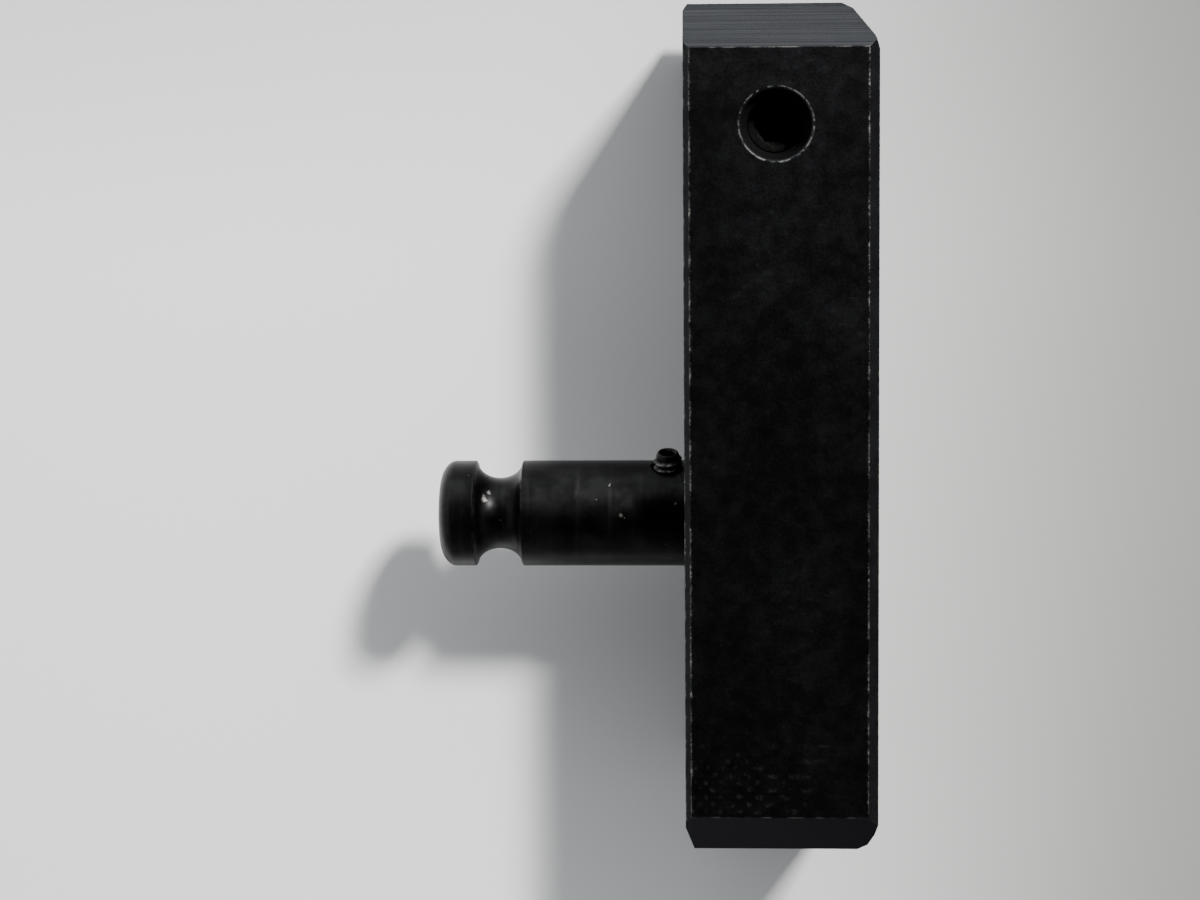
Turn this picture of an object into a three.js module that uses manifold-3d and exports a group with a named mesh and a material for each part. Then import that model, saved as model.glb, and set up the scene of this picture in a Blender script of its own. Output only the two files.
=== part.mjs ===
// A quick change tool block with a grooved pull stud, lying on its base. Millimetres, +Z up.
// The pull stud points to -X, the long way of the block is Y, and the clamp screw is in its top.
import * as THREE from "three";
import { mergeVertices } from "three/addons/utils/BufferGeometryUtils.js";
import Module from "manifold-3d";

const wasm = await Module();
wasm.setup();

// Fits
const fit = 0.3;              // clearance round a pin or screw in its hole
const seat = 0.3;             // clearance between two faces that bear on each other
const overrun = 1;            // how far a cutter runs past the face that it opens

// Block
const blockLength = 98.4;
const blockThickness = 22.2;
const blockHeight = 31.75;
const endChamfer = 5.2;       // 45 degree chamfers across both ends, above and below
const frontBevel = 1.25;      // long edges of the front face
const backBevel = 0.7;        // long edges of the seat face
const frontHeadCorner = { x: 3.3, y: 4.6 };
const frontFootCorner = { x: 1.3, y: 3.2 };
const seatHeadCorner = { x: 0.5, y: 0.8 };
const seatFootCorner = { x: 1.0, y: 3.5 };

// Pull stud
const studDiameter = 12.7;
const studReach = 29.5;       // from the seat face to the tip
const studBelowMiddle = 11.05; // from the middle of the block's length
const headLength = 4.4;
const headRound = { along: 1.9, across: 2.9 };
const grooveWidth = 5.5;
const neckDiameter = 8.5;
const flatDepth = 1.1;        // flat under the buried end, for the lock screw
const flatSpare = 0.6;        // flat past the lock screw on each side

// Key screw, into the side of the stud at its root
const keyDiameter = 3.3;
const keyLength = 4.7;
const keyProud = 1.85;
const keyFromSeatFace = 2.0;
const keyTilt = 20;           // degrees that it leans up from level
const keySocket = 1.6;
const keySocketDepth = 1.5;

// Cap screw that draws the stud into the block, with its collar lock washer
const capShank = 6.0;
const capShankLength = 12.7;
const capHead = 9.5;
const capHeadHeight = 6.35;
const capSocket = 4.76;
const capSocketDepth = 3.2;
const capRecess = 0.4;        // from the front face to the top of the head
const capHoleSpare = 1.2;     // tapped depth left past the end of the screw
const webThickness = 3.9;     // between the floor of the counterbore and that of the stud's hole
const washerOutside = 9.27;
const washerThickness = 1.98;
const washerSplit = 0.8;

// Lock screw, up through the base on to the stud's flat
const lockDiameter = 4.6;
const lockLength = 6.35;
const lockSocket = 2.38;
const lockSocketDepth = 2.4;
const lockPoint = 0.8;        // length of its tapered point

// Tool bore, with its clamp screw and brass pad
const toolBore = 9.6;
const toolBoreHeight = 13.5;  // from the base to the bore's axis
const clampFromEnd = 13.8;    // from the head end of the block
const clampFromSeatFace = 10.5;
const clampDiameter = 6.7;
const clampLength = 6.35;
const clampSocket = 3.97;
const clampSocketDepth = 2.6;
const padThickness = 1.6;
const padStem = 2.4;
const padStemLength = 1.8;
const padSetBack = 0.4;       // from the roof of the tool bore to the pad, screw run back

// Edge breaks
const boreBreak = 0.6;
const screwBreak = 0.5;

// Places worked out from the sizes. The origin is under the middle of the whole part.
const seatFace = -(studReach + blockThickness) / 2 + studReach;
const frontFace = seatFace + blockThickness;
const studTip = seatFace - studReach;
const middleHeight = blockHeight / 2;
const studY = -studBelowMiddle;
const clampX = seatFace + clampFromSeatFace;
const clampY = blockLength / 2 - clampFromEnd;
const studRadius = studDiameter / 2;
const capHoleDepth = capRecess + capHeadHeight + washerThickness + 2 * seat;
const studFloor = frontFace - capHoleDepth - webThickness;
const studBuriedEnd = studFloor - seat;
const lockX = (seatFace + studBuriedEnd) / 2;
const keyLean = THREE.MathUtils.degToRad(keyTilt);
const keyAxis = new THREE.Vector3(0, Math.cos(keyLean), Math.sin(keyLean));

const xAxis = new THREE.Vector3(1, 0, 0);
const yAxis = new THREE.Vector3(0, 1, 0);
const zAxis = new THREE.Vector3(0, 0, 1);
const roundSides = 48;
const smallSides = 24;

// Geometry to solid and back

function toSolid(geometry) {
  const bare = geometry.clone();
  bare.deleteAttribute("normal");
  bare.deleteAttribute("uv");
  const merged = mergeVertices(bare, 1e-4);
  const corners = merged.index.array;
  const kept = [];
  for (let i = 0; i < corners.length; i += 3) {
    const [a, b, c] = [corners[i], corners[i + 1], corners[i + 2]];
    if (a !== b && b !== c && c !== a) kept.push(a, b, c);
  }
  const vertProperties = new Float32Array(merged.attributes.position.array);
  const triVerts = new Uint32Array(kept);
  return new wasm.Manifold(new wasm.Mesh({ numProp: 3, vertProperties, triVerts }));
}

function toGeometry(solid) {
  const mesh = solid.getMesh();
  const positions = [];
  for (let i = 0; i < mesh.vertProperties.length; i += mesh.numProp) {
    positions.push(...mesh.vertProperties.slice(i, i + 3));
  }
  const indexed = new THREE.BufferGeometry();
  indexed.setAttribute("position", new THREE.Float32BufferAttribute(positions, 3));
  indexed.setIndex([...mesh.triVerts]);
  const geometry = indexed.toNonIndexed();
  geometry.computeVertexNormals();
  return geometry;
}

// Outline of a rectangle with its corners cut, from the lower left corner round to the upper left.
function cutRectangle(left, bottom, right, top, cuts) {
  const [a, b, c, d] = cuts;
  const points = [
    [left, bottom + a.v], [left + a.u, bottom],
    [right - b.u, bottom], [right, bottom + b.v],
    [right, top - c.v], [right - c.u, top],
    [left + d.u, top], [left, top - d.v],
  ];
  return new THREE.Shape(points.map(([u, v]) => new THREE.Vector2(u, v)));
}

// Straight bar of an outline, from one place to another along X, Y or Z.
function bar(shape, from, to, axis) {
  const geometry = new THREE.ExtrudeGeometry(shape, { depth: to - from, bevelEnabled: false });
  geometry.translate(0, 0, from);
  const turned = {
    x: new THREE.Matrix4().makeBasis(yAxis, zAxis, xAxis),
    y: new THREE.Matrix4().makeBasis(zAxis, xAxis, yAxis),
    z: new THREE.Matrix4(),
  };
  geometry.applyMatrix4(turned[axis]);
  return toSolid(geometry);
}

// Round solid from [distance along the axis, radius] pairs, from a place in a direction.
function turned(profile, place, direction, sides = roundSides) {
  const points = profile.map(([along, radius]) => new THREE.Vector2(radius, along));
  const geometry = new THREE.LatheGeometry(points, sides);
  const turn = new THREE.Quaternion().setFromUnitVectors(yAxis, direction);
  geometry.applyQuaternion(turn);
  geometry.translate(place.x, place.y, place.z);
  return toSolid(geometry);
}

function plainRound(diameter, length, place, direction, sides) {
  const radius = diameter / 2;
  return turned([[0, 0], [0, radius], [length, radius], [length, 0]], place, direction, sides);
}

// Hexagon socket, cut from a place in a direction.
function hexSocket(acrossFlats, depth, place, direction) {
  const radius = acrossFlats / Math.sqrt(3);
  const profile = [[-overrun, 0], [-overrun, radius], [depth, radius], [depth + radius / 3, 0]];
  return turned(profile, place, direction, 6);
}

// Set screw with a hexagon socket in its near end and a flat point with a taper.
function setScrew(size, place, direction) {
  const radius = size.diameter / 2;
  const body = turned([
    [0, 0], [0, radius - screwBreak], [screwBreak, radius],
    [size.length - size.point, radius], [size.length, radius - size.point], [size.length, 0],
  ], place, direction, smallSides);
  return body.subtract(hexSocket(size.socket, size.socketDepth, place, direction));
}

const at = (x, y, z) => new THREE.Vector3(x, y, z);
const minus = (axis) => axis.clone().negate();

// Tool block

function toolBlock() {
  const half = blockLength / 2;
  const corner = (cut) => ({ u: cut.x, v: cut.y });
  const even = (size) => ({ u: size, v: size });
  const plan = cutRectangle(seatFace, -half, frontFace, half,
    [corner(seatFootCorner), corner(frontFootCorner), corner(frontHeadCorner),
      corner(seatHeadCorner)]);
  const side = cutRectangle(-half, 0, half, blockHeight, Array(4).fill(even(endChamfer)));
  const section = cutRectangle(0, seatFace, blockHeight, frontFace,
    [even(backBevel), even(backBevel), even(frontBevel), even(frontBevel)]);
  let block = bar(plan, 0, blockHeight, "z");
  block = block.intersect(bar(side, seatFace, frontFace, "x"));
  block = block.intersect(bar(section, -half, half, "y"));

  const studHole = plainRound(studDiameter + 2 * fit, studFloor - seatFace + overrun,
    at(seatFace - overrun, studY, middleHeight), xAxis);
  const capCounterbore = plainRound(capHead + 2 * fit, capHoleDepth + overrun,
    at(frontFace + overrun, studY, middleHeight), minus(xAxis));
  const capThrough = plainRound(capShank + 2 * fit, blockThickness,
    at(seatFace + overrun, studY, middleHeight), xAxis);
  const lockHole = plainRound(lockDiameter + 2 * fit, middleHeight,
    at(lockX, studY, -overrun), zAxis, smallSides);

  const boreRadius = toolBore / 2;
  const flare = boreRadius + boreBreak;
  const toolHole = turned([
    [-overrun, 0], [-overrun, flare + overrun], [boreBreak, boreRadius],
    [blockThickness - boreBreak, boreRadius],
    [blockThickness + overrun, flare + overrun], [blockThickness + overrun, 0],
  ], at(seatFace, clampY, toolBoreHeight), xAxis);

  const threadRadius = clampDiameter / 2 + fit;
  const mouth = threadRadius + boreBreak;
  const threadLength = blockHeight - toolBoreHeight;
  const clampHole = turned([
    [-overrun, 0], [-overrun, mouth + overrun], [boreBreak, threadRadius],
    [threadLength, threadRadius], [threadLength, 0],
  ], at(clampX, clampY, blockHeight), minus(zAxis));

  return block.subtract(studHole).subtract(capCounterbore).subtract(capThrough)
    .subtract(lockHole).subtract(toolHole).subtract(clampHole);
}

// Pull stud, turned from its tip

function pullStud() {
  const arcSteps = 10;
  const profile = [[0, 0], [0, studRadius - headRound.across]];
  for (let i = 1; i <= arcSteps; i++) {
    const angle = (i / arcSteps) * Math.PI / 2;
    profile.push([headRound.along * (1 - Math.cos(angle)),
      studRadius - headRound.across * (1 - Math.sin(angle))]);
  }
  const grooveHalf = grooveWidth / 2;
  const grooveDepth = studRadius - neckDiameter / 2;
  for (let i = 0; i <= 2 * arcSteps; i++) {
    const angle = (i / (2 * arcSteps)) * Math.PI;
    profile.push([headLength + grooveHalf * (1 - Math.cos(angle)),
      studRadius - grooveDepth * Math.sin(angle)]);
  }
  const whole = studBuriedEnd - studTip;
  profile.push([whole - screwBreak, studRadius], [whole, studRadius - screwBreak], [whole, 0]);
  const body = turned(profile, at(studTip, studY, middleHeight), xAxis);

  const capTapDepth = capScrewEnd() + capHoleSpare;
  const capTap = plainRound(capShank + 2 * fit, capTapDepth + overrun,
    at(studBuriedEnd + overrun, studY, middleHeight), minus(xAxis), smallSides);
  const keyTap = plainRound(keyDiameter + 2 * fit, keyLength + fit + overrun,
    keyPlace(studRadius + keyProud + overrun), minus(keyAxis), smallSides);
  const flatTop = middleHeight - studRadius + flatDepth;
  const flatHalf = lockDiameter / 2 + flatSpare;
  const flatOutline = cutRectangle(lockX - flatHalf, studY - studRadius, lockX + flatHalf,
    studY + studRadius, Array(4).fill({ u: screwBreak, v: screwBreak }));
  const flatCut = bar(flatOutline, flatTop - studRadius, flatTop, "z");
  return body.subtract(capTap).subtract(keyTap).subtract(flatCut);
}

// How far the cap screw reaches into the stud from its buried end.
function capScrewEnd() {
  const headSeat = frontFace - capRecess - capHeadHeight;
  return studBuriedEnd - (headSeat - capShankLength);
}

// A place on the key screw's axis, by its distance from the axis of the stud.
function keyPlace(reach) {
  const root = at(seatFace - keyFromSeatFace, studY, middleHeight);
  return root.addScaledVector(keyAxis, reach);
}

function keyScrew() {
  const size = { diameter: keyDiameter, length: keyLength, point: screwBreak,
    socket: keySocket, socketDepth: keySocketDepth };
  return setScrew(size, keyPlace(studRadius + keyProud), minus(keyAxis));
}

function studCapScrew() {
  const head = capHead / 2;
  const shank = capShank / 2;
  const place = at(frontFace - capRecess, studY, middleHeight);
  const end = capHeadHeight + capShankLength;
  const body = turned([
    [0, 0], [0, head - screwBreak], [screwBreak, head], [capHeadHeight, head],
    [capHeadHeight, shank], [end - screwBreak, shank], [end, shank - screwBreak], [end, 0],
  ], place, minus(xAxis));
  return body.subtract(hexSocket(capSocket, capSocketDepth, place, minus(xAxis)));
}

function lockWasher() {
  const inner = capShank / 2 + fit;
  const outer = washerOutside / 2;
  const start = frontFace - capRecess - capHeadHeight - seat;
  const ring = turned([
    [0, inner], [0, outer], [washerThickness, outer], [washerThickness, inner], [0, inner],
  ], at(start, studY, middleHeight), minus(xAxis));
  const slot = cutRectangle(studY - washerSplit / 2, middleHeight, studY + washerSplit / 2,
    middleHeight + washerOutside, Array(4).fill({ u: 0.01, v: 0.01 }));
  return ring.subtract(bar(slot, start - washerThickness - overrun, start + overrun, "x"));
}

function lockScrew() {
  const top = middleHeight - studRadius + flatDepth - seat;
  const size = { diameter: lockDiameter, length: lockLength, point: lockPoint,
    socket: lockSocket, socketDepth: lockSocketDepth };
  return setScrew(size, at(lockX, studY, top - lockLength), zAxis);
}

// Clamp screw and pad, drawn with the screw run back

const boreRoof = toolBoreHeight + toolBore / 2;
const padTop = boreRoof + padSetBack + padThickness;

function clampScrew() {
  const bottom = padTop + seat;
  const size = { diameter: clampDiameter, length: clampLength, point: screwBreak,
    socket: clampSocket, socketDepth: clampSocketDepth };
  const screw = setScrew(size, at(clampX, clampY, bottom + clampLength), minus(zAxis));
  const stemHole = plainRound(padStem + 2 * fit, padStemLength + fit + overrun,
    at(clampX, clampY, bottom - overrun), zAxis, smallSides);
  return screw.subtract(stemHole);
}

function clampPad() {
  const radius = clampDiameter / 2 - fit;
  const stem = padStem / 2;
  const whole = padThickness + padStemLength;
  return turned([
    [0, 0], [0, radius - screwBreak], [screwBreak, radius], [padThickness, radius],
    [padThickness, stem], [whole, stem], [whole, 0],
  ], at(clampX, clampY, boreRoof + padSetBack), zAxis, smallSides);
}

// Assembly

const blackOxide = { color: 0x151516, roughness: 0.55, metalness: 0.75 };
const darkSteel = { color: 0x1d1e20, roughness: 0.4, metalness: 0.85 };
const springSteel = { color: 0x3a3a3c, roughness: 0.45, metalness: 0.9 };
const brass = { color: 0xb08d4a, roughness: 0.4, metalness: 0.95 };

function piece(name, solid, finish) {
  const mesh = new THREE.Mesh(toGeometry(solid), new THREE.MeshStandardMaterial(finish));
  mesh.name = name;
  return mesh;
}

const toolHolder = new THREE.Group();
toolHolder.add(
  piece("tool_block", toolBlock(), blackOxide),
  piece("pull_stud", pullStud(), darkSteel),
  piece("key_screw", keyScrew(), darkSteel),
  piece("stud_cap_screw", studCapScrew(), darkSteel),
  piece("lock_washer", lockWasher(), springSteel),
  piece("lock_screw", lockScrew(), darkSteel),
  piece("clamp_screw", clampScrew(), darkSteel),
  piece("clamp_pad", clampPad(), brass),
);

export default toolHolder;
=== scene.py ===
import math
import random

import bmesh
import bpy
from mathutils import Matrix, Vector


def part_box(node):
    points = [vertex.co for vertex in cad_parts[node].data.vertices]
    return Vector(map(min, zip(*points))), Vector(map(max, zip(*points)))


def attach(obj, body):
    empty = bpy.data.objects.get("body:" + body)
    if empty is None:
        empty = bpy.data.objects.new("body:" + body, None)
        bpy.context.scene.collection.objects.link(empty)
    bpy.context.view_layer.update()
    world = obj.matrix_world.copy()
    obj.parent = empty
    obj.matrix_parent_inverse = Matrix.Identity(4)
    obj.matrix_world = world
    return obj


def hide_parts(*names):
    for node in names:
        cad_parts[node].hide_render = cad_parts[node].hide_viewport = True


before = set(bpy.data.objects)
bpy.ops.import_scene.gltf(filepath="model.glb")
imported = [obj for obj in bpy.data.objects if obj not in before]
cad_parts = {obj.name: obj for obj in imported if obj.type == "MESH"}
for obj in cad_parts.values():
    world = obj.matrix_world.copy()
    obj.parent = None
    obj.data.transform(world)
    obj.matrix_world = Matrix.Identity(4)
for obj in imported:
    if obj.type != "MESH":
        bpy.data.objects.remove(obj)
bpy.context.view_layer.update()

mm = 0.001
xAxis = Vector((1, 0, 0))
yAxis = Vector((0, 1, 0))
zAxis = Vector((0, 0, 1))

# Where things are, read from the frame and kept in mm

def boxInMm(node):
    low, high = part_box(node)
    return low / mm, high / mm


blockLow, blockHigh = boxInMm("tool_block")
studLow, studHigh = boxInMm("pull_stud")
keyLow, keyHigh = boxInMm("key_screw")
capLow, capHigh = boxInMm("stud_cap_screw")
washerLow, washerHigh = boxInMm("lock_washer")
lockLow, lockHigh = boxInMm("lock_screw")
clampLow, clampHigh = boxInMm("clamp_screw")
padLow, padHigh = boxInMm("clamp_pad")

blockMiddle = (blockLow + blockHigh) / 2
blockHalf = (blockHigh - blockLow) / 2
studMiddle = (studLow + studHigh) / 2
studRadius = (studHigh.z - studLow.z) / 2
clampMiddle = (clampLow + clampHigh) / 2
capMiddle = (capLow + capHigh) / 2
lockMiddle = (lockLow + lockHigh) / 2
keyMiddle = (keyLow + keyHigh) / 2


# Node trees

class Signal:
    # one socket's value, so that node maths reads as plain expressions
    def __init__(self, bench, socket):
        self.bench = bench
        self.socket = socket

    def worked(self, operation, *others, clamp=False):
        settings = {"operation": operation, "use_clamp": clamp}
        return self.bench.add("ShaderNodeMath", settings, [self, *others])

    def __add__(self, other):
        return self.worked("ADD", other)

    def __sub__(self, other):
        return self.worked("SUBTRACT", other)

    def __mul__(self, other):
        return self.worked("MULTIPLY", other)

    def __truediv__(self, other):
        return self.worked("DIVIDE", other)

    def __rsub__(self, other):
        return self.bench.add("ShaderNodeMath", {"operation": "SUBTRACT"}, [other, self])

    def __abs__(self):
        return self.worked("ABSOLUTE")

    __radd__ = __add__
    __rmul__ = __mul__

    def least(self, other):
        return self.worked("MINIMUM", other)

    def most(self, other):
        return self.worked("MAXIMUM", other)

    def kept(self):
        return self.worked("ADD", 0.0, clamp=True)   # held between 0 and 1

    def fade(self, start, end):
        # 0 at start and 1 at end, smoothly; start may be above end
        settings = {"interpolation_type": "SMOOTHSTEP"}
        return self.bench.add("ShaderNodeMapRange", settings, [self, start, end, 0.0, 1.0])


class Bench:
    # a node tree being filled
    def __init__(self, tree):
        self.tree = tree

    def add(self, kind, settings=None, inputs=None, output=0):
        node = self.tree.nodes.new(kind)
        for name, value in (settings or {}).items():
            setattr(node, name, value)
        pairs = inputs.items() if isinstance(inputs, dict) else enumerate(inputs or [])
        for key, value in pairs:
            if isinstance(value, Signal):
                self.tree.links.new(value.socket, node.inputs[key])
            else:
                node.inputs[key].default_value = value
        return Signal(self, node.outputs[output])

    def split(self, vector):
        first = self.add("ShaderNodeSeparateXYZ", None, [vector])
        node = first.socket.node
        return [Signal(self, socket) for socket in node.outputs]

    def joinUp(self, x, y, z):
        return self.add("ShaderNodeCombineXYZ", None, [x, y, z])

    def distance(self, first, second):
        return (first * first + second * second).worked("SQRT")


class Finish(Bench):
    # a material's tree, with places in mm from the object's own coordinates
    def __init__(self, name, constants):
        self.material = bpy.data.materials.new(name)
        self.material.use_nodes = True
        super().__init__(self.material.node_tree)
        self.shader = self.tree.nodes["Principled BSDF"]
        for socket, value in constants.items():
            self.shader.inputs[socket].default_value = value

    def place(self, centre=(0, 0, 0)):
        inPlace = self.add("ShaderNodeTexCoord", None, None, "Object")
        scaled = self.add("ShaderNodeVectorMath", {"operation": "SCALE"},
                          {0: inPlace, 3: 1 / mm})
        return self.add("ShaderNodeVectorMath", {"operation": "SUBTRACT"},
                        [scaled, tuple(centre)])

    def noise(self, vector, scale, detail=3.0, roughness=0.55):
        inputs = {"Vector": vector, "Scale": scale, "Detail": detail, "Roughness": roughness}
        return self.add("ShaderNodeTexNoise", None, inputs)

    def streaks(self, place, stretch, detail=4.0):
        # noise drawn out: stretch gives lumps per mm along each axis
        drawn = self.add("ShaderNodeVectorMath", {"operation": "MULTIPLY"}, [place, stretch])
        return self.noise(drawn, 1.0, detail)

    def tint(self, factor, first, second):
        return self.add("ShaderNodeMix", {"data_type": "RGBA"},
                        {0: factor, 6: first, 7: second}, 2)

    def wire(self, socket, value):
        self.tree.links.new(value.socket, self.shader.inputs[socket])

    def bump(self, height, strength, depth):
        inputs = {"Strength": strength, "Distance": depth * mm, "Height": height}
        self.wire("Normal", self.add("ShaderNodeBump", None, inputs))


# Meshes, drawn in mm and turned to metres when a piece is finished

def meshFrom(name, corners, faces):
    mesh = bpy.data.meshes.new(name)
    mesh.from_pydata([tuple(corner) for corner in corners], [], faces)
    return mesh


def tidied(mesh):
    bench = bmesh.new()
    bench.from_mesh(mesh)
    bmesh.ops.remove_doubles(bench, verts=bench.verts, dist=0.0005)
    bmesh.ops.recalc_face_normals(bench, faces=bench.faces)
    bench.to_mesh(mesh)
    bench.free()
    return mesh


def softened(points, steps=4):
    # (along, radius, cut) corners, each cut back and rounded by that many mm
    path = []
    for i, (along, radius, cut) in enumerate(points):
        here = Vector((along, radius))
        if not cut:
            path.append(here)
            continue
        before = (Vector(points[i - 1][:2]) - here).normalized() * cut
        after = (Vector(points[i + 1][:2]) - here).normalized() * cut
        for step in range(steps + 1):
            t = step / steps
            path.append(here + before * (1 - t) ** 2 + after * t ** 2)
    return path


def turned(name, path, place, direction, sides=96, phase=0.0):
    # round solid about a line, from points (along, radius)
    across = (yAxis if abs(direction.y) < 0.5 else zAxis).cross(direction).normalized()
    over = direction.cross(across)
    corners, faces, rings = [], [], []
    for along, radius in path:
        centre = place + direction * along
        if radius < 1e-6:
            rings.append([len(corners)] * sides)
            corners.append(centre)
            continue
        rings.append(list(range(len(corners), len(corners) + sides)))
        for i in range(sides):
            angle = 2 * math.pi * i / sides + phase
            corners.append(centre + (across * math.cos(angle) + over * math.sin(angle)) * radius)
    closing = path[0][1] > 1e-6
    pairs = list(zip(rings, rings[1:] + rings[:1] if closing else rings[1:]))
    for lower, upper in pairs:
        for i in range(sides):
            j = (i + 1) % sides
            loop = [lower[i], lower[j], upper[j], upper[i]]
            faces.append(list(dict.fromkeys(loop)))
    faces = [face for face in faces if len(face) > 2]
    return tidied(meshFrom(name, corners, faces))


def evaluated(name, mesh, modifiers):
    # the mesh as its modifiers leave it
    obj = bpy.data.objects.new(name, mesh)
    bpy.context.scene.collection.objects.link(obj)
    for kind, settings in modifiers:
        modifier = obj.modifiers.new(kind, kind)
        for key, value in settings.items():
            setattr(modifier, key, value)
    graph = bpy.context.evaluated_depsgraph_get()
    result = bpy.data.meshes.new_from_object(obj.evaluated_get(graph))
    bpy.data.objects.remove(obj)
    return result


def carved(name, mesh, cutters):
    for cutter in cutters:
        tool = bpy.data.objects.new("cutter", cutter)
        bpy.context.scene.collection.objects.link(tool)
        settings = {"operation": "DIFFERENCE", "solver": "EXACT", "object": tool}
        mesh = evaluated(name, mesh, [("BOOLEAN", settings)])
        bpy.data.objects.remove(tool)
    return mesh


def gathered(name, meshes):
    bench = bmesh.new()
    for mesh in meshes:
        bench.from_mesh(mesh)
    whole = bpy.data.meshes.new(name)
    bench.to_mesh(whole)
    bench.free()
    return whole


def finished(name, mesh, material, body, node, smoothUnder=32):
    # from mm to metres, shaded, in its finish, and tied to the frame
    mesh.transform(Matrix.Scale(mm, 4))
    mesh.materials.clear()
    mesh.materials.append(material)
    mesh.polygons.foreach_set("material_index", [0] * len(mesh.polygons))
    mesh.shade_smooth()
    mesh.set_sharp_from_angle(angle=math.radians(smoothUnder))
    mesh = evaluated(name, mesh, [("WEIGHTED_NORMAL", {"keep_sharp": True})])
    mesh.name = name
    obj = bpy.data.objects.new(name, mesh)
    bpy.context.scene.collection.objects.link(obj)
    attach(obj, body)
    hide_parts(node)
    print(name, "has", sum(len(face.vertices) - 2 for face in mesh.polygons), "triangles")
    return obj


# Screw threads and knurls, by Geometry Nodes

def newTree(name, inputs):
    tree = bpy.data.node_groups.new(name, "GeometryNodeTree")
    for label, kind in inputs.items():
        tree.interface.new_socket(name=label, in_out="INPUT", socket_type="NodeSocket" + kind)
    tree.interface.new_socket(name="Geometry", in_out="OUTPUT", socket_type="NodeSocketGeometry")
    bench = Bench(tree)
    entry = tree.nodes.new("NodeGroupInput")
    return bench, {label: Signal(bench, entry.outputs[label]) for label in inputs}


def closeTree(bench, geometry, material):
    real = bench.add("GeometryNodeRealizeInstances", None, [geometry])
    dressed = bench.add("GeometryNodeSetMaterial", None, {"Geometry": real, "Material": material})
    leave = bench.tree.nodes.new("NodeGroupOutput")
    bench.tree.links.new(dressed.socket, leave.inputs[0])


def threadTree():
    # one ridge wound up a cylinder, fading out at both ends
    bench, given = newTree("screw thread", {
        "Pitch": "Float", "Turns": "Float", "Root radius": "Float", "Crest radius": "Float",
        "Low end": "Float", "Steps": "Int", "Material": "Material"})
    pitch, turns = given["Pitch"], given["Turns"]
    count = (given["Steps"] * turns).worked("CEIL") + 1
    sectionCorners = 5                                  # the last meets the first
    grid = bench.add("GeometryNodeMeshGrid", None,
                     {"Size X": 1.0, "Size Y": 1.0, "Vertices X": count,
                      "Vertices Y": sectionCorners})
    x, y, _ = bench.split(bench.add("GeometryNodeInputPosition"))
    wound = x + 0.5
    corner = ((y + 0.5) * (sectionCorners - 1)).worked("ROUND")
    crest = (1.5 - abs(corner - 1.5)).kept()            # 0 at the root, 1 on the crest
    upper = abs(corner - 2.5).worked("LESS_THAN", 0.6)
    taper = (wound * turns).fade(0.0, 0.6) * ((1 - wound) * turns).fade(0.0, 0.6)
    halfWidth = (0.46 - crest * 0.38) * pitch
    radius = given["Root radius"] + (given["Crest radius"] - given["Root radius"]) * crest * taper
    height = given["Low end"] + wound * turns * pitch + (upper * 2 - 1) * halfWidth * taper
    angle = wound * turns * (2 * math.pi)
    place = bench.joinUp(radius * angle.worked("COSINE"), radius * angle.worked("SINE"), height)
    moved = bench.add("GeometryNodeSetPosition", None, {"Geometry": grid, "Position": place})
    welded = bench.add("GeometryNodeMergeByDistance", None, {"Geometry": moved, "Distance": 0.0005})
    closeTree(bench, welded, given["Material"])
    return bench.tree


def knurlTree():
    # straight ridges round a head, half sunk in it
    bench, given = newTree("knurl", {
        "Count": "Int", "Radius": "Float", "Width": "Float", "Length": "Float",
        "Low end": "Float", "Material": "Material"})
    ring = bench.add("GeometryNodeMeshCircle", {"fill_type": "NONE"},
                     {"Vertices": given["Count"], "Radius": given["Radius"]})
    width = given["Width"]
    ridge = bench.add("GeometryNodeMeshCube", None,
                      {"Size": bench.joinUp(width, width, given["Length"])})
    turn = bench.add("GeometryNodeInputIndex") / given["Count"] * (2 * math.pi) + math.pi / 4
    placed = bench.add("GeometryNodeInstanceOnPoints", None,
                       {"Points": ring, "Instance": ridge,
                        "Rotation": bench.joinUp(0.0, 0.0, turn)})
    lifted = bench.joinUp(0.0, 0.0, given["Low end"] + given["Length"] * 0.5)
    raised = bench.add("GeometryNodeTransform", None, {"Geometry": placed, "Translation": lifted})
    closeTree(bench, raised, given["Material"])
    return bench.tree


def grown(tree, values):
    # the tree's result as a plain mesh
    obj = bpy.data.objects.new(tree.name, bpy.data.meshes.new(tree.name))
    bpy.context.scene.collection.objects.link(obj)
    modifier = obj.modifiers.new("nodes", "NODES")
    modifier.node_group = tree
    for item in tree.interface.items_tree:
        if item.in_out == "INPUT":
            modifier[item.identifier] = values[item.name]
    graph = bpy.context.evaluated_depsgraph_get()
    mesh = bpy.data.meshes.new_from_object(obj.evaluated_get(graph))
    bpy.data.objects.remove(obj)
    return mesh


threads = threadTree()
knurls = knurlTree()
threadDepth = {"ridge": 0.56, "core": 0.5}     # shares of the pitch


def threadMesh(size, low, high, place, direction, material, inside=False):
    # threads lie on whole pitches along their line, and those inside a hole half a pitch off
    pitch = size["pitch"]
    shift = 0.5 if inside else 0.0
    first = (math.ceil(low / pitch - shift) + shift) * pitch
    outer = size["thread"] / 2
    inner = outer - threadDepth["ridge"] * pitch
    root, crest = (outer, inner + size["slack"]) if inside else (inner, outer - size["slack"])
    mesh = grown(threads, {
        "Pitch": pitch, "Turns": (high - first) / pitch - 0.5, "Root radius": root,
        "Crest radius": crest, "Low end": first, "Steps": 48, "Material": material})
    turn = zAxis.rotation_difference(direction).to_matrix().to_4x4()
    mesh.transform(Matrix.Translation(place) @ turn)
    return tidied(mesh)


def coreRadius(size):
    # of a screw, a little out from the root of its thread
    return size["thread"] / 2 - threadDepth["core"] * size["pitch"]


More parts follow.
